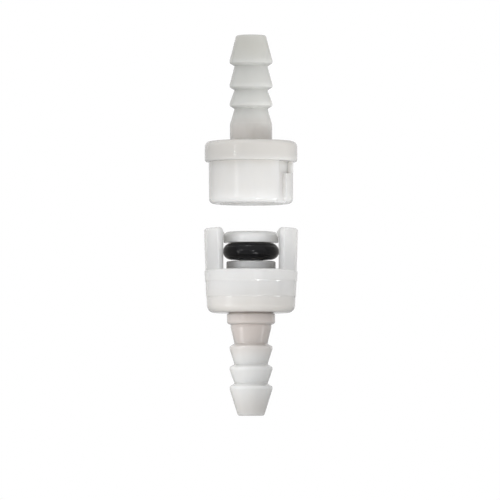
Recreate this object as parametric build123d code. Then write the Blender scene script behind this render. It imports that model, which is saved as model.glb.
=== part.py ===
from build123d import *
from math import radians, sin, tan
import os

# Twist-lock quick disconnect coupling for 6 mm tubing, drawn pulled apart.
# Millimetres and degrees. The flow axis is Z, with the plug half below and the socket half above it.

# Hose barbs, the same on both halves; crests are counted from the tip
CREST_RADIUS = 4.0
BARB_DEPTH = 0.9
BARB_LAND = 0.5
BARB_SHOULDER = 0.55
BARB_FLANK_ROUNDING = 0.3
BARB_LIP_ROUNDING = 0.25
BARB_ROOT_ROUNDING = 0.2
PLUG_CRESTS = (5.45, 9.05, 12.9)
SOCKET_CRESTS = (5.2, 9.7, 13.2)
PLUG_TIP_RADIUS = 2.45
SOCKET_TIP_RADIUS = 2.8
TIP_ROUNDING = 0.45
FLOW_RADIUS = 1.75

# Socket half
SKIRT_RADIUS = 7.9
SKIRT_TAPER = 0.07
SKIRT_LENGTH = 7.8
RIM_ROUNDING = 0.9
FLANGE_THICKNESS = 3.85
FLANGE_OVERHANG = 0.75
FLANGE_TOP_ROUNDING = 1.0
FLANGE_LOWER_ROUNDING = 0.45
STEM_SETBACK = 0.05
STEM_LENGTH = 3.2
STEM_CONE_LENGTH = 2.9
STEM_CONE_ROUNDING = 0.8
STEM_FOOT_ROUNDING = 0.35
SEAT_CONE_LENGTH = 2.0
MOUTH_FLARE = 0.45
MOUTH_FLARE_LENGTH = 1.1
SHOULDER_CLEARANCE = 0.3

# Seal and spigot
NECK_RADIUS = 2.15
SEAL_SECTION = 3.1
SEAL_GRIP = 0.01
SEAL_CLEARANCE = 0.07
SEAL_PLAY = 0.35
HEAD_SETBACK = 0.12
HEAD_THICKNESS = 2.05
HEAD_BELOW_TIPS = 0.65
HEAD_END_CLEARANCE = 0.5
HEAD_ROUNDING = 0.9
SPIGOT_FLOW_RADIUS = 1.3
FLOW_STEP_DEPTH = 1.0

# Plug stem
JOURNAL_GROWTH = 0.08
SHOULDER_HEIGHT = 0.52
SHOULDER_LIFT = 0.05
BEAD_HEIGHT = 0.42
BEAD_LENGTH = 2.05
BEAD_GAP = 0.12
BEAD_ROUNDING = 0.6
PLUG_STEM_LENGTH = 3.55
PLUG_CONE_LENGTH = 2.95
PLUG_CONE_GROWTH = 0.7

# Locking collar
HUB_CLEARANCE = 0.07
HUB_WALL = 1.2
COLLAR_HEIGHT = 8.0
COLLAR_LIP = 0.2
COLLAR_TAPER = 0.12
COLLAR_STEPS = (2.0, 4.9)
COLLAR_STEP_DEPTH = 0.09
COLLAR_STEP_HEIGHT = 0.3
COLLAR_STEP_ROUNDING = 0.6
COLLAR_TOP_ROUNDING = 0.4
COLLAR_BOTTOM_ROUNDING = 1.4
POCKET_DEPTH = 5.2
POCKET_WALL = 1.0
POCKET_DRAFT = 0.2

# Arms and bayonet
ARM_CLEARANCE = 0.1
ARM_THICKNESS = 0.52
ARM_FLARE = 0.28
ARM_HALF_WIDTH = 6.1
ARM_ROOT_DEPTH = 0.8
ARM_TIP_ROUNDING = 0.5
ARM_CORNER_ROUNDING = 1.0
TIP_GAP = 0.25
RIM_GAP = 0.2
LUG_REACH = 0.9
LUG_HEIGHT = 1.8
LUG_LEAD_IN = 0.7
LUG_HALF_ANGLE = 6.5
LUG_ANGLE = -41.0
SLOT_CLEARANCE = 0.12
SLOT_SIDE_CLEARANCE = 0.22
SLOT_FLARE = 0.45
SLOT_FLARE_LENGTH = 0.9
TWIST_ANGLE = 25.0
RAMP_SLOPE = 0.08
RAMP_CLEARANCE = 0.05
GROOVE_END_ANGLE = 1.2

# Roundings of plain edges and inner corners, and how far a cutter or a joined root overshoots
EDGE = 0.15
INNER_CORNER = 0.3
OVERSHOOT = 1.0

# How far apart the halves are drawn
REST_GAP = 4.6

# Radii that follow from the sizes above
root_radius = CREST_RADIUS - BARB_DEPTH
stem_radius = CREST_RADIUS - STEM_SETBACK
plug_cone_radius = root_radius + PLUG_CONE_GROWTH
journal_radius = CREST_RADIUS + JOURNAL_GROWTH
bead_radius = journal_radius + BEAD_HEIGHT
shoulder_radius = journal_radius + SHOULDER_HEIGHT
hub_radius = journal_radius + HUB_CLEARANCE
seal_radius = SEAL_SECTION / 2
seal_centre_radius = NECK_RADIUS - SEAL_GRIP + seal_radius
seal_outer_radius = seal_centre_radius + seal_radius
head_radius = seal_outer_radius - HEAD_SETBACK
seat_radius = seal_outer_radius + SEAL_CLEARANCE
mouth_radius = max(seat_radius, shoulder_radius + SHOULDER_CLEARANCE)
rim_wall = SKIRT_RADIUS - SKIRT_TAPER - mouth_radius - MOUTH_FLARE
flange_radius = SKIRT_RADIUS + FLANGE_OVERHANG
arm_inner_radius = SKIRT_RADIUS + ARM_CLEARANCE
arm_base_radius = arm_inner_radius + ARM_THICKNESS
arm_tip_radius = arm_base_radius + ARM_FLARE
collar_radius = arm_base_radius + COLLAR_LIP
lug_radius = arm_inner_radius - LUG_REACH
slot_floor = lug_radius - SLOT_CLEARANCE

# Heights that follow, counted up from the plug's tip
plug_root_top = PLUG_CRESTS[-1] + BARB_SHOULDER
bead_bottom = plug_root_top + PLUG_STEM_LENGTH
bead_top = bead_bottom + BEAD_LENGTH
collar_bottom = bead_top + BEAD_GAP
collar_top = collar_bottom + COLLAR_HEIGHT
arm_length = SKIRT_LENGTH - TIP_GAP + RIM_GAP
arm_tip = collar_top + arm_length
head_top = arm_tip - HEAD_BELOW_TIPS
head_bottom = head_top - HEAD_THICKNESS
seal_height = head_bottom - SHOULDER_LIFT - seal_radius
shoulder_top = head_bottom - SEAL_SECTION - SEAL_PLAY
rim = arm_tip + REST_GAP
travel = rim - RIM_GAP - collar_top
flange_bottom = rim + SKIRT_LENGTH
seat_end = flange_bottom - TIP_GAP - HEAD_BELOW_TIPS + HEAD_END_CLEARANCE
flange_top = flange_bottom + FLANGE_THICKNESS
stem_top = flange_top + STEM_LENGTH
socket_root = stem_top + STEM_CONE_LENGTH
socket_tip = socket_root + BARB_SHOULDER + SOCKET_CRESTS[-1]


def outline(corners):
    """A flat face in the XZ plane; each corner is (x, z, rounding)."""
    points = [Vector(x, 0, z) for x, z, _ in corners]
    edges = []
    ends = []
    for i, (_, _, rounding) in enumerate(corners):
        here = points[i]
        back = (points[i - 1] - here).normalized()
        ahead = (points[(i + 1) % len(points)] - here).normalized()
        if rounding == 0:
            ends.append((here, here))
            continue
        half = radians(back.get_angle(ahead) / 2)
        reach = rounding / tan(half)
        inward = (back + ahead).normalized()
        middle = here + inward * (rounding / sin(half) - rounding)
        start = here + back * reach
        end = here + ahead * reach
        edges.append(ThreePointArc(start, middle, end))
        ends.append((start, end))
    for i, (start, _) in enumerate(ends):
        edges.append(Line(ends[i - 1][1], start))
    return make_face(edges)


def turned(corners):
    """A round body about the flow axis."""
    return revolve(outline(corners), Axis.Z, 360)


def sector(corners, start_angle, end_angle):
    """A part turn about the flow axis, between two angles."""
    return Rot(0, 0, start_angle) * revolve(outline(corners), Axis.Z, end_angle - start_angle)


def pair(shape):
    """The shape and its twin half a turn round the axis."""
    return [shape, Rot(0, 0, 180) * shape]


def barb_corners(tip_height, direction, tip_radius, crests):
    """The outside of a hose barb from its tip inwards; direction is +1 when the tip is at the bottom."""
    corners = [(FLOW_RADIUS, tip_height, EDGE), (tip_radius, tip_height, TIP_ROUNDING)]
    for distance in crests:
        land_start = tip_height + direction * (distance - BARB_LAND)
        land_end = tip_height + direction * distance
        root = tip_height + direction * (distance + BARB_SHOULDER)
        corners.append((CREST_RADIUS, land_start, BARB_FLANK_ROUNDING))
        corners.append((CREST_RADIUS, land_end, BARB_LIP_ROUNDING))
        corners.append((root_radius, root, BARB_ROOT_ROUNDING))
    return corners


def make_slot():
    """The straight part of the bayonet groove, with a flared mouth at the rim."""
    half_width = lug_radius * sin(radians(LUG_HALF_ANGLE)) + SLOT_SIDE_CLEARANCE
    mouth_half_width = half_width + SLOT_FLARE
    flare_end = rim + SLOT_FLARE_LENGTH
    face = outline([
        (-mouth_half_width, rim - OVERSHOOT, 0),
        (mouth_half_width, rim - OVERSHOOT, 0),
        (mouth_half_width, rim, 0),
        (half_width, flare_end, INNER_CORNER),
        (half_width, flange_bottom, 0),
        (-half_width, flange_bottom, 0),
        (-half_width, flare_end, INNER_CORNER),
        (-mouth_half_width, rim, 0),
    ])
    depth = flange_radius - slot_floor + OVERSHOOT
    block = Pos(0, -slot_floor, 0) * extrude(face, amount=depth, dir=(0, -1, 0))
    return Rot(0, 0, LUG_ANGLE + 90) * block


def make_locking_groove():
    """The sideways part of the groove; its lower face climbs so that the twist pulls the halves together."""
    margin = LUG_HALF_ANGLE + GROOVE_END_ANGLE
    lug_bottom = flange_bottom - TIP_GAP - LUG_HEIGHT
    groove = sector([
        (slot_floor, lug_bottom - OVERSHOOT, 0),
        (flange_radius, lug_bottom - OVERSHOOT, 0),
        (flange_radius, flange_bottom, 0),
        (slot_floor, flange_bottom, INNER_CORNER),
    ], LUG_ANGLE - margin, LUG_ANGLE + TWIST_ANGLE + margin)
    locked_edge = LUG_ANGLE + TWIST_ANGLE + LUG_HALF_ANGLE
    outward = Vector(1, 0, 0).rotate(Axis.Z, locked_edge)
    along = Vector(0, 1, 0).rotate(Axis.Z, locked_edge)
    origin = outward * lug_radius + Vector(0, 0, lug_bottom - RAMP_CLEARANCE)
    ramp = Plane(origin, x_dir=outward, z_dir=Vector(0, 0, 1) - along * RAMP_SLOPE)
    return split(groove, bisect_by=ramp, keep=Keep.TOP)


def seat_corners():
    """The inside of the socket, from its rim to the flow hole; its mouth clears the plug's shoulder."""
    corners = [
        (mouth_radius + MOUTH_FLARE, rim, INNER_CORNER),
        (mouth_radius, rim + MOUTH_FLARE_LENGTH, INNER_CORNER),
    ]
    if mouth_radius > seat_radius:
        shoulder_end = shoulder_top + travel + SHOULDER_CLEARANCE
        corners.append((mouth_radius, shoulder_end, 0))
        corners.append((seat_radius, shoulder_end + mouth_radius - seat_radius, 0))
    corners.append((seat_radius, seat_end, INNER_CORNER))
    corners.append((FLOW_RADIUS, seat_end + SEAT_CONE_LENGTH, INNER_CORNER))
    return corners


def make_socket_body():
    corners = barb_corners(socket_tip, -1, SOCKET_TIP_RADIUS, SOCKET_CRESTS)
    corners += [
        (stem_radius, stem_top, STEM_CONE_ROUNDING),
        (stem_radius, flange_top, STEM_FOOT_ROUNDING),
        (flange_radius, flange_top, FLANGE_TOP_ROUNDING),
        (flange_radius, flange_bottom, FLANGE_LOWER_ROUNDING),
        (SKIRT_RADIUS, flange_bottom, 0),
        (SKIRT_RADIUS - SKIRT_TAPER, rim, min(RIM_ROUNDING, rim_wall / 2)),
    ]
    body = turned(corners + seat_corners())
    for cut in pair(make_slot()) + pair(make_locking_groove()):
        body -= cut
    return body


def make_plug_stem():
    corners = barb_corners(0, 1, PLUG_TIP_RADIUS, PLUG_CRESTS)
    corners += [
        (plug_cone_radius, plug_root_top + PLUG_CONE_LENGTH, INNER_CORNER),
        (plug_cone_radius, bead_bottom, EDGE),
        (bead_radius, bead_bottom, BEAD_ROUNDING),
        (bead_radius, bead_top, INNER_CORNER),
        (journal_radius, bead_top, SHOULDER_LIFT),
        (journal_radius, collar_top + SHOULDER_LIFT, SHOULDER_LIFT),
        (shoulder_radius, collar_top + SHOULDER_LIFT, EDGE),
        (shoulder_radius, shoulder_top, INNER_CORNER),
        (NECK_RADIUS, shoulder_top, INNER_CORNER),
        (NECK_RADIUS, head_bottom, INNER_CORNER),
        (head_radius, head_bottom, EDGE),
        (head_radius, head_top, HEAD_ROUNDING),
        (SPIGOT_FLOW_RADIUS, head_top, EDGE),
        (SPIGOT_FLOW_RADIUS, shoulder_top, INNER_CORNER),
        (FLOW_RADIUS, collar_top - FLOW_STEP_DEPTH, INNER_CORNER),
    ]
    return turned(corners)


def make_o_ring():
    return Pos(0, 0, seal_height) * Torus(seal_centre_radius, seal_radius)


def make_collar_ring():
    """The gripped ring, in three shallow tiers that narrow downwards, with a pocket round its hub."""
    radius = collar_radius
    tiers = [(radius, collar_top, COLLAR_TOP_ROUNDING)]
    for depth in COLLAR_STEPS:
        radius -= COLLAR_TAPER
        tiers.append((radius, collar_top - depth, COLLAR_STEP_ROUNDING))
        radius -= COLLAR_STEP_DEPTH
        tiers.append((radius, collar_top - depth - COLLAR_STEP_HEIGHT, COLLAR_STEP_ROUNDING))
    radius -= COLLAR_TAPER
    tiers.append((radius, collar_bottom, COLLAR_BOTTOM_ROUNDING))
    pocket_inner = hub_radius + HUB_WALL
    pocket_outer = radius - POCKET_WALL
    pocket_floor = collar_top - POCKET_DEPTH
    corners = [
        (hub_radius, collar_bottom, EDGE),
        (hub_radius, collar_top, EDGE),
        (pocket_inner - POCKET_DRAFT, collar_top, EDGE),
        (pocket_inner, pocket_floor, INNER_CORNER),
        (pocket_outer, pocket_floor, INNER_CORNER),
        (pocket_outer + POCKET_DRAFT, collar_top, EDGE),
    ]
    return turned(corners + tiers)


def make_arm():
    """One upright arm of the collar: a thin flared ring, cut to a tongue with rounded top corners."""
    root = collar_top - ARM_ROOT_DEPTH
    ring = turned([
        (arm_inner_radius, root, 0),
        (arm_base_radius, root, 0),
        (arm_tip_radius, arm_tip, ARM_TIP_ROUNDING),
        (arm_inner_radius, arm_tip, EDGE),
    ])
    tongue = outline([
        (-ARM_HALF_WIDTH, root - OVERSHOOT, 0),
        (ARM_HALF_WIDTH, root - OVERSHOOT, 0),
        (ARM_HALF_WIDTH, arm_tip + EDGE, ARM_CORNER_ROUNDING),
        (-ARM_HALF_WIDTH, arm_tip + EDGE, ARM_CORNER_ROUNDING),
    ])
    block = extrude(tongue, amount=arm_tip_radius + OVERSHOOT, dir=(0, -1, 0))
    return ring & Rot(0, 0, 90) * block


def make_lug():
    """The inward lug at the front edge of an arm's tip, with a lead-in at the top."""
    lug_top = arm_tip - EDGE
    rooted = arm_inner_radius + EDGE
    return sector([
        (lug_radius, arm_tip - LUG_HEIGHT, EDGE),
        (rooted, arm_tip - LUG_HEIGHT, 0),
        (rooted, lug_top - EDGE, 0),
        (arm_inner_radius - EDGE, lug_top, EDGE / 2),
        (lug_radius, lug_top - LUG_LEAD_IN, INNER_CORNER),
    ], LUG_ANGLE - LUG_HALF_ANGLE, LUG_ANGLE + LUG_HALF_ANGLE)


def make_locking_collar():
    collar = make_collar_ring()
    for piece in pair(make_arm() + make_lug()):
        collar += piece
    return collar


parts = {
    "socket_body": make_socket_body(),
    "plug_stem": make_plug_stem(),
    "o_ring": make_o_ring(),
    "locking_collar": make_locking_collar(),
}

os.makedirs("parts", exist_ok=True)
for name, shape in parts.items():
    export_step(shape, f"parts/{name}.step")
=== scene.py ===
import math

import bpy
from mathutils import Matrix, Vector


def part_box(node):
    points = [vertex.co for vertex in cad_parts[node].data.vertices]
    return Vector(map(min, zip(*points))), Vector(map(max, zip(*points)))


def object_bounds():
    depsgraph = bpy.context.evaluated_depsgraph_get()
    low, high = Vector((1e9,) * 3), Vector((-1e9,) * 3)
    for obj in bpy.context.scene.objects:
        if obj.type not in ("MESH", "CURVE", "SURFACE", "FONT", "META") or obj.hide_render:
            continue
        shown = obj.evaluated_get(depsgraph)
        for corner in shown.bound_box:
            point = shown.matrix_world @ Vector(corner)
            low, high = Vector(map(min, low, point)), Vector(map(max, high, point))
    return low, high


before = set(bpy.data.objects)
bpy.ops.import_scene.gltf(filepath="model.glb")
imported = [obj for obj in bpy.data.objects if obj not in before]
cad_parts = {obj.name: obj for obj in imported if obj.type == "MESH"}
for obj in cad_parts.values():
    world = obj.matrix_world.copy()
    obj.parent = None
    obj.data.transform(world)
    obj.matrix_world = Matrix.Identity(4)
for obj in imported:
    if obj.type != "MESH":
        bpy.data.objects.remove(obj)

# A twist-lock tube coupling moulded in unpigmented, cloudy plastic, with a black rubber seal.
# Everything is in metres in the part's own frame: the flow axis is Z, plug below, socket above.

MM = 0.001
cad_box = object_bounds()
part_low = cad_box[0]

FLOAT = "NodeSocketFloat"
VECTOR = "NodeSocketVector"


# Node helpers

def add_node(tree, kind, **values):
    """A new node; names with a capital set input sockets, the others set properties."""
    node = tree.nodes.new(kind)
    for name, value in values.items():
        if name[0].isupper():
            node.inputs[name.replace("_", " ")].default_value = value
        else:
            setattr(node, name, value)
    return node


def join(tree, source, target):
    tree.links.new(source, target)


def new_group(name, inputs, outputs):
    """An empty node group; inputs are given as {name: (kind, default)}, outputs as {name: kind}."""
    tree = bpy.data.node_groups.new(name, "ShaderNodeTree")
    for socket_name, (kind, default) in inputs.items():
        socket = tree.interface.new_socket(socket_name, in_out="INPUT", socket_type=kind)
        socket.default_value = default
    for socket_name, kind in outputs.items():
        tree.interface.new_socket(socket_name, in_out="OUTPUT", socket_type=kind)
    return tree, tree.nodes.new("NodeGroupInput"), tree.nodes.new("NodeGroupOutput")


def one_over(tree, source):
    """The reciprocal of a socket, which turns a size into a texture scale."""
    node = add_node(tree, "ShaderNodeMath", operation="DIVIDE")
    node.inputs[0].default_value = 1.0
    join(tree, source, node.inputs[1])
    return node.outputs[0]


def times(tree, source, factor):
    """A socket multiplied by another socket or by a plain number."""
    node = add_node(tree, "ShaderNodeMath", operation="MULTIPLY")
    join(tree, source, node.inputs[0])
    if isinstance(factor, bpy.types.NodeSocket):
        join(tree, factor, node.inputs[1])
    else:
        node.inputs[1].default_value = factor
    return node.outputs[0]


def place_group(tree, group, **values):
    """A node that uses a shared group, with the named inputs set."""
    node = tree.nodes.new("ShaderNodeGroup")
    node.node_tree = group
    for name, value in values.items():
        node.inputs[name.replace("_", " ")].default_value = value
    return node


# Effects that several finishes share

NOISE_MIDDLE = 0.5
SCUFF_TURN = (0.5, 0.3, 0.8)
SCUFF_STRETCH = (1.0, 6.0, 1.0)


def make_cloud_group():
    """Soft clouds inside moulded plastic: 0 in the clear stretches, 1 in the milky ones."""
    tree, start, end = new_group("Milky clouds", {"Size": (FLOAT, 0.004), "Contrast": (FLOAT, 1.0)},
                                 {"Amount": FLOAT})
    place = add_node(tree, "ShaderNodeTexCoord")
    noise = add_node(tree, "ShaderNodeTexNoise", Detail=3.0, Roughness=0.45, Distortion=0.3)
    join(tree, place.outputs["Object"], noise.inputs["Vector"])
    join(tree, one_over(tree, start.outputs["Size"]), noise.inputs["Scale"])
    centred = add_node(tree, "ShaderNodeMath", operation="SUBTRACT")
    centred.inputs[1].default_value = NOISE_MIDDLE
    join(tree, noise.outputs["Fac"], centred.inputs[0])
    stretched = times(tree, centred.outputs[0], start.outputs["Contrast"])
    back = add_node(tree, "ShaderNodeMath", operation="ADD", use_clamp=True)
    back.inputs[1].default_value = NOISE_MIDDLE
    join(tree, stretched, back.inputs[0])
    join(tree, back.outputs[0], end.inputs["Amount"])
    return tree


def make_skin_group():
    """The fine skin of a moulded surface, as a bumped normal: grain plus slow waviness."""
    tree, start, end = new_group(
        "Moulded skin",
        {"Grain Size": (FLOAT, 0.0002), "Grain Depth": (FLOAT, 0.000004), "Wave Size": (FLOAT, 0.003),
         "Wave Depth": (FLOAT, 0.00003)},
        {"Normal": VECTOR})
    place = add_node(tree, "ShaderNodeTexCoord")
    bump_before = None
    for label, detail in (("Wave", 1.0), ("Grain", 2.0)):
        noise = add_node(tree, "ShaderNodeTexNoise", Detail=detail, Roughness=0.5)
        join(tree, place.outputs["Object"], noise.inputs["Vector"])
        join(tree, one_over(tree, start.outputs[label + " Size"]), noise.inputs["Scale"])
        bump = add_node(tree, "ShaderNodeBump", Strength=1.0)
        join(tree, noise.outputs["Fac"], bump.inputs["Height"])
        join(tree, start.outputs[label + " Depth"], bump.inputs["Distance"])
        if bump_before is not None:
            join(tree, bump_before.outputs["Normal"], bump.inputs["Normal"])
        bump_before = bump
    join(tree, bump_before.outputs["Normal"], end.inputs["Normal"])
    return tree


def make_scuff_group():
    """Thin handling scuffs: mostly 0, up to 1 along fine, slightly curved streaks."""
    tree, start, end = new_group("Handling scuffs", {"Size": (FLOAT, 0.002), "Amount": (FLOAT, 0.3)},
                                 {"Mask": FLOAT})
    place = add_node(tree, "ShaderNodeTexCoord")
    stretch = add_node(tree, "ShaderNodeMapping")
    stretch.inputs["Rotation"].default_value = SCUFF_TURN
    stretch.inputs["Scale"].default_value = SCUFF_STRETCH
    join(tree, place.outputs["Object"], stretch.inputs["Vector"])
    noise = add_node(tree, "ShaderNodeTexNoise", Detail=4.0, Roughness=0.6, Distortion=0.6)
    join(tree, stretch.outputs["Vector"], noise.inputs["Vector"])
    join(tree, one_over(tree, start.outputs["Size"]), noise.inputs["Scale"])
    cut = add_node(tree, "ShaderNodeMapRange", From_Min=0.62, From_Max=0.78)
    join(tree, noise.outputs["Fac"], cut.inputs["Value"])
    join(tree, times(tree, cut.outputs["Result"], start.outputs["Amount"]), end.inputs["Mask"])
    return tree


def make_length_group():
    """How far along the flow axis a point lies: 0 at the start height and below, 1 at the end height."""
    tree, start, end = new_group("Place along the axis", {"Start": (FLOAT, 0.0), "End": (FLOAT, 0.07)},
                                 {"Amount": FLOAT})
    place = add_node(tree, "ShaderNodeTexCoord")
    parts = add_node(tree, "ShaderNodeSeparateXYZ")
    join(tree, place.outputs["Object"], parts.inputs[0])
    share = add_node(tree, "ShaderNodeMapRange", interpolation_type="SMOOTHSTEP")
    join(tree, parts.outputs["Z"], share.inputs["Value"])
    join(tree, start.outputs["Start"], share.inputs["From Min"])
    join(tree, start.outputs["End"], share.inputs["From Max"])
    join(tree, share.outputs["Result"], end.inputs["Amount"])
    return tree


milky_clouds = make_cloud_group()
moulded_skin = make_skin_group()
handling_scuffs = make_scuff_group()
along_axis = make_length_group()


# Finishes

CLOUD_CONTRAST = 1.8
CLOUD_AMOUNT = 0.16
CLOUD_COLOUR = (0.62, 0.60, 0.55)
# Painted edge shade: the plastic's colour turns dark grey where the surface turns away from the camera,
# standing in for the darker outline at the silhouette.
PAINTED_EDGE_SHADE = 0.9
PAINTED_EDGE_SHADE_NARROWNESS = 3.0
PAINTED_EDGE_SHADE_COLOUR = (0.20, 0.20, 0.195)
PLASTIC_IOR = 1.49
PLASTIC_ROUGHNESS = (0.15, 0.34)
PLASTIC_SCUFF_SIZE = 2.5 * MM
PLASTIC_SCUFF_AMOUNT = 0.35
PLASTIC_GLOW_DEPTH = 4.0 * MM
PLASTIC_GLOW_COLOUR = (1.0, 0.97, 0.94)
RUBBER_IOR = 1.52
RUBBER_SHINE = 0.2
RUBBER_ROUGHNESS = (0.22, 0.42)
RUBBER_SCUFF_SIZE = 1.2 * MM
RUBBER_SCUFF_AMOUNT = 0.8
RUBBER_BLACK = (0.004, 0.004, 0.005)
RUBBER_SCUFFED = (0.012, 0.012, 0.013)


def mix_colours(tree, amount, first, second):
    """A colour mix; first and second are sockets or plain colours."""
    mix = add_node(tree, "ShaderNodeMix", data_type="RGBA")
    join(tree, amount, mix.inputs["Factor"])
    for source, target in ((first, mix.inputs["A"]), (second, mix.inputs["B"])):
        if isinstance(source, bpy.types.NodeSocket):
            join(tree, source, target)
        else:
            target.default_value = (*source, 1.0)
    return mix.outputs["Result"]


def set_roughness(tree, shader, scuffs, smooth_and_scuffed):
    """Roughness that rises from the smooth value to the scuffed one along the scuffs."""
    smooth, scuffed = smooth_and_scuffed
    rough = add_node(tree, "ShaderNodeMapRange", To_Min=smooth, To_Max=scuffed)
    join(tree, scuffs.outputs["Mask"], rough.inputs["Value"])
    join(tree, rough.outputs["Result"], shader.inputs["Roughness"])


def new_material(name):
    """A new material, with its node tree and its main shader."""
    material = bpy.data.materials.new(name)
    material.use_nodes = True
    tree = material.node_tree
    return material, tree, tree.nodes["Principled BSDF"]


def make_natural_plastic(name, tones_and_painted_light, cloud_size):
    """Unpigmented plastic; the (height, colour) pairs give its colour at rising heights, with bands of
    painted shade and painted light among them.
    """
    material, tree, shader = new_material(name)
    (start, body), *later = tones_and_painted_light
    for height, colour in later:
        length = place_group(tree, along_axis, Start=start, End=height)
        body = mix_colours(tree, length.outputs["Amount"], body, colour)
        start = height
    clouds = place_group(tree, milky_clouds, Size=cloud_size, Contrast=CLOUD_CONTRAST)
    scuffs = place_group(tree, handling_scuffs, Size=PLASTIC_SCUFF_SIZE, Amount=PLASTIC_SCUFF_AMOUNT)
    milky = times(tree, clouds.outputs["Amount"], CLOUD_AMOUNT)
    clouded = mix_colours(tree, milky, body, CLOUD_COLOUR)
    # Painted edge shade: a dark outline is mixed into the colour as the surface turns away from the
    # camera.
    facing = add_node(tree, "ShaderNodeLayerWeight", Blend=0.5)
    edge_shade_falloff = add_node(tree, "ShaderNodeMath", operation="POWER")
    join(tree, facing.outputs["Facing"], edge_shade_falloff.inputs[0])
    edge_shade_falloff.inputs[1].default_value = PAINTED_EDGE_SHADE_NARROWNESS
    edge_shaded_colour = mix_colours(tree, times(tree, edge_shade_falloff.outputs[0], PAINTED_EDGE_SHADE), clouded, PAINTED_EDGE_SHADE_COLOUR)
    join(tree, edge_shaded_colour, shader.inputs["Base Color"])
    set_roughness(tree, shader, scuffs, PLASTIC_ROUGHNESS)
    skin = place_group(tree, moulded_skin)
    join(tree, skin.outputs["Normal"], shader.inputs["Normal"])
    shader.inputs["IOR"].default_value = PLASTIC_IOR
    shader.inputs["Subsurface Weight"].default_value = 1.0
    shader.inputs["Subsurface Radius"].default_value = PLASTIC_GLOW_COLOUR
    shader.inputs["Subsurface Scale"].default_value = PLASTIC_GLOW_DEPTH
    return material


def make_seal_rubber():
    """Black rubber with a smooth, slightly oily skin."""
    material, tree, shader = new_material("seal_rubber")
    scuffs = place_group(tree, handling_scuffs, Size=RUBBER_SCUFF_SIZE, Amount=RUBBER_SCUFF_AMOUNT)
    colour = mix_colours(tree, scuffs.outputs["Mask"], RUBBER_BLACK, RUBBER_SCUFFED)
    join(tree, colour, shader.inputs["Base Color"])
    set_roughness(tree, shader, scuffs, RUBBER_ROUGHNESS)
    skin = place_group(tree, moulded_skin, Grain_Size=0.00015, Grain_Depth=0.000003,
                       Wave_Size=0.0015, Wave_Depth=0.00002)
    join(tree, skin.outputs["Normal"], shader.inputs["Normal"])
    shader.inputs["IOR"].default_value = RUBBER_IOR
    shader.inputs["Specular IOR Level"].default_value = RUBBER_SHINE
    return material


def dress(node, material):
    """Gives a piece of the frame its finish."""
    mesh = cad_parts[node].data
    mesh.materials.clear()
    mesh.materials.append(material)


skirt_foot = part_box("socket_body")[0].z
plug_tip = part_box("plug_stem")[0].z
collar_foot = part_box("locking_collar")[0].z

BARB_WHITE = (0.87, 0.87, 0.855)
BODY_WHITE = (0.84, 0.83, 0.815)
# Painted light: a lighter band at the skirt's rim.
RIM_PAINTED_LIGHT = (0.94, 0.935, 0.92)
# Painted shade: darker bands on the flange and, rose-tinted, on the stem just above it.
FLANGE_PAINTED_SHADE = (0.73, 0.715, 0.69)
STEM_ROSE_PAINTED_SHADE = (0.735, 0.705, 0.675)
TUBE_GREEN = (0.75, 0.755, 0.725)
# Painted shade: a darker, yellower band at the socket's tip.
TIP_GREEN_PAINTED_SHADE = (0.74, 0.735, 0.68)
# Painted shade: darker bands at the plug's tip and, rose-tinted, on the tube just under the collar.
PLUG_TIP_PAINTED_SHADE = (0.75, 0.72, 0.69)
TUBE_ROSE_PAINTED_SHADE = (0.655, 0.595, 0.565)
# Painted light: lighter bands on the shoulder and the head, which lie in shade between the ring and the
# arms.
SHOULDER_PAINTED_LIGHT = (0.97, 0.965, 0.955)
HEAD_PAINTED_LIGHT = (0.93, 0.93, 0.91)
# Painted light: a lighter band on the locking arms.
ARM_PAINTED_LIGHT = (0.93, 0.91, 0.885)
COLLAR_WHITE = (0.86, 0.845, 0.83)
# Painted shade: a darker, rose-tinted band at the collar's foot.
COLLAR_FOOT_PAINTED_SHADE = (0.73, 0.705, 0.675)

# Colours along the axis: the plastic's own tones, with bands of painted shade and painted light between
# them.
socket_tones_and_painted_light = [
    (skirt_foot, RIM_PAINTED_LIGHT),
    (skirt_foot + 3 * MM, BODY_WHITE),
    (skirt_foot + 6 * MM, BODY_WHITE),
    (skirt_foot + 9 * MM, FLANGE_PAINTED_SHADE),
    (skirt_foot + 13 * MM, STEM_ROSE_PAINTED_SHADE),
    (skirt_foot + 18 * MM, TUBE_GREEN),
    (skirt_foot + 25 * MM, TUBE_GREEN),
    (skirt_foot + 31 * MM, TIP_GREEN_PAINTED_SHADE),
]
plug_tones_and_painted_light = [
    (plug_tip, PLUG_TIP_PAINTED_SHADE),
    (plug_tip + 6 * MM, BARB_WHITE),
    (plug_tip + 9 * MM, BARB_WHITE),
    (plug_tip + 15 * MM, TUBE_ROSE_PAINTED_SHADE),
    (collar_foot, TUBE_ROSE_PAINTED_SHADE),
    (collar_foot + 6 * MM, SHOULDER_PAINTED_LIGHT),
    (collar_foot + 11 * MM, SHOULDER_PAINTED_LIGHT),
    (collar_foot + 13 * MM, HEAD_PAINTED_LIGHT),
]
collar_tones_and_painted_light = [
    (collar_foot, COLLAR_FOOT_PAINTED_SHADE),
    (collar_foot + 6 * MM, COLLAR_WHITE),
    (collar_foot + 8 * MM, COLLAR_WHITE),
    (collar_foot + 12 * MM, ARM_PAINTED_LIGHT),
]

dress("socket_body", make_natural_plastic("socket_plastic", socket_tones_and_painted_light, 4.5 * MM))
dress("plug_stem", make_natural_plastic("plug_plastic", plug_tones_and_painted_light, 4.0 * MM))
dress("locking_collar", make_natural_plastic("collar_plastic", collar_tones_and_painted_light, 5.0 * MM))
dress("o_ring", make_seal_rubber())


# Stage

FLOOR_DROP = 100 * MM
FLOOR_HALF = 1.5
FLOOR_COLOUR = (0.90, 0.90, 0.90)
FLOOR_ROUGHNESS = 0.9
WHITE = (1.0, 1.0, 1.0)
SURROUND_LEVEL = 0.635


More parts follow.
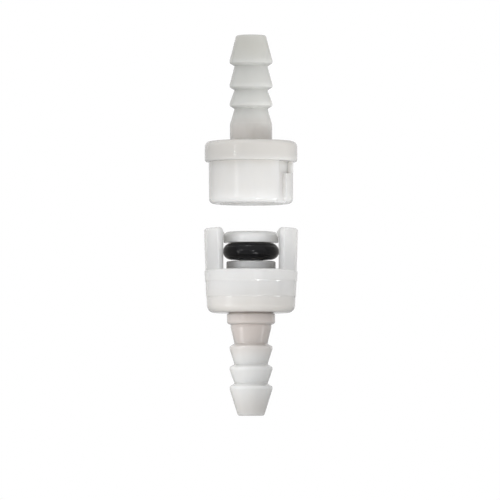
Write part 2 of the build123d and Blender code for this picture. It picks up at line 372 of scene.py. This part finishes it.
def make_floor():
    """A pale floor that reads as white, takes a shadow and is clear from underneath."""
    z = part_low.z - FLOOR_DROP
    corners = [(-FLOOR_HALF, -FLOOR_HALF, z), (FLOOR_HALF, -FLOOR_HALF, z),
               (FLOOR_HALF, FLOOR_HALF, z), (-FLOOR_HALF, FLOOR_HALF, z)]
    mesh = bpy.data.meshes.new("pale_floor")
    mesh.from_pydata(corners, [], [(0, 1, 2, 3)])
    floor = bpy.data.objects.new("pale_floor", mesh)
    bpy.context.scene.collection.objects.link(floor)
    material, tree, shader = new_material("pale_floor")
    shader.inputs["Base Color"].default_value = (*FLOOR_COLOUR, 1.0)
    shader.inputs["Roughness"].default_value = FLOOR_ROUGHNESS
    shader.inputs["Emission Color"].default_value = (*WHITE, 1.0)
    seen = add_node(tree, "ShaderNodeLightPath")
    join(tree, seen.outputs["Is Camera Ray"], shader.inputs["Emission Strength"])
    side = add_node(tree, "ShaderNodeNewGeometry")
    clear = tree.nodes.new("ShaderNodeBsdfTransparent")
    one_sided = tree.nodes.new("ShaderNodeMixShader")
    join(tree, side.outputs["Backfacing"], one_sided.inputs["Fac"])
    join(tree, shader.outputs["BSDF"], one_sided.inputs[1])
    join(tree, clear.outputs["BSDF"], one_sided.inputs[2])
    join(tree, one_sided.outputs["Shader"], tree.nodes["Material Output"].inputs["Surface"])
    mesh.materials.append(material)


def make_world(level):
    """A white surround that lights the part softly and shows white behind it."""
    world = bpy.data.worlds.new("white_surround")
    bpy.context.scene.world = world
    world.use_nodes = True
    tree = world.node_tree
    background = tree.nodes["Background"]
    background.inputs["Color"].default_value = (*WHITE, 1.0)
    seen = add_node(tree, "ShaderNodeLightPath")
    any_seen = seen.outputs["Is Camera Ray"]
    for ray in ("Is Glossy Ray", "Is Transmission Ray"):
        largest = add_node(tree, "ShaderNodeMath", operation="MAXIMUM")
        join(tree, any_seen, largest.inputs[0])
        join(tree, seen.outputs[ray], largest.inputs[1])
        any_seen = largest.outputs[0]
    strength = add_node(tree, "ShaderNodeMapRange", To_Min=level, To_Max=1.0)
    join(tree, any_seen, strength.inputs["Value"])
    join(tree, strength.outputs["Result"], background.inputs["Strength"])


def around(point, azimuth, elevation, distance):
    """A place at a distance from a point; azimuth 0 is straight in front, positive to the right."""
    turn, rise = math.radians(azimuth), math.radians(elevation)
    across, upwards = math.cos(rise), math.sin(rise)
    return point + distance * Vector((math.sin(turn) * across, -math.cos(turn) * across, upwards))


def add_spot(name, height, azimuth, elevation, distance, spread, radius, power):
    """A round soft lamp aimed at a height on the flow axis; angles in degrees, power in watts."""
    aim = Vector((0.0, 0.0, height))
    light = bpy.data.lights.new(name, "SPOT")
    light.spot_size = math.radians(spread)
    light.spot_blend = 1.0
    light.shadow_soft_size = radius
    light.energy = power
    lamp = bpy.data.objects.new(name, light)
    lamp.location = around(aim, azimuth, elevation, distance)
    lamp.rotation_euler = (aim - lamp.location).to_track_quat("-Z", "Y").to_euler()
    bpy.context.scene.collection.objects.link(lamp)


make_floor()
make_world(SURROUND_LEVEL)
add_spot("socket_right", skirt_foot + 14 * MM, azimuth=76, elevation=-28, distance=0.14,
         spread=21, radius=0.025, power=0.37)
add_spot("socket_under", skirt_foot + 12 * MM, azimuth=20, elevation=-40, distance=0.14,
         spread=22, radius=0.005, power=0.13)
add_spot("plug_left", plug_tip + 14 * MM, azimuth=-60, elevation=-12, distance=0.16,
         spread=30, radius=0.030, power=0.29)
add_spot("plug_barbs_left", plug_tip + 7 * MM, azimuth=-40, elevation=10, distance=0.16,
         spread=16, radius=0.030, power=0.56)
add_spot("plug_over", collar_foot + 2 * MM, azimuth=-25, elevation=68, distance=0.16,
         spread=18, radius=0.005, power=0.10)
add_spot("plug_under", collar_foot + 2 * MM, azimuth=-24, elevation=-31, distance=0.16,
         spread=12, radius=0.006, power=0.03)
add_spot("window_fill", collar_foot + 10 * MM, azimuth=8, elevation=-10, distance=0.20,
         spread=7, radius=0.020, power=0.46)


# Camera

CAMERA_DISTANCE = 1.0
CAMERA_ELEVATION = -2.5
AIM_SIDE = -0.19 * MM
AIM_HEIGHT = 30.9 * MM
LENS = 386.0
SENSOR_WIDTH = 36.0
NEAREST_SEEN = 10 * MM

camera_data = bpy.data.cameras.new("camera")
camera_data.lens = LENS
camera_data.sensor_width = SENSOR_WIDTH
camera_data.clip_start = NEAREST_SEEN
camera = bpy.data.objects.new("camera", camera_data)
rise = math.radians(CAMERA_ELEVATION)
aim = Vector((AIM_SIDE, 0.0, AIM_HEIGHT))
camera.location = aim + CAMERA_DISTANCE * Vector((0.0, -math.cos(rise), math.sin(rise)))
camera.rotation_euler = (aim - camera.location).to_track_quat("-Z", "Y").to_euler()
bpy.context.scene.collection.objects.link(camera)
bpy.context.scene.camera = camera
bpy.context.scene.view_settings.view_transform = "Standard"
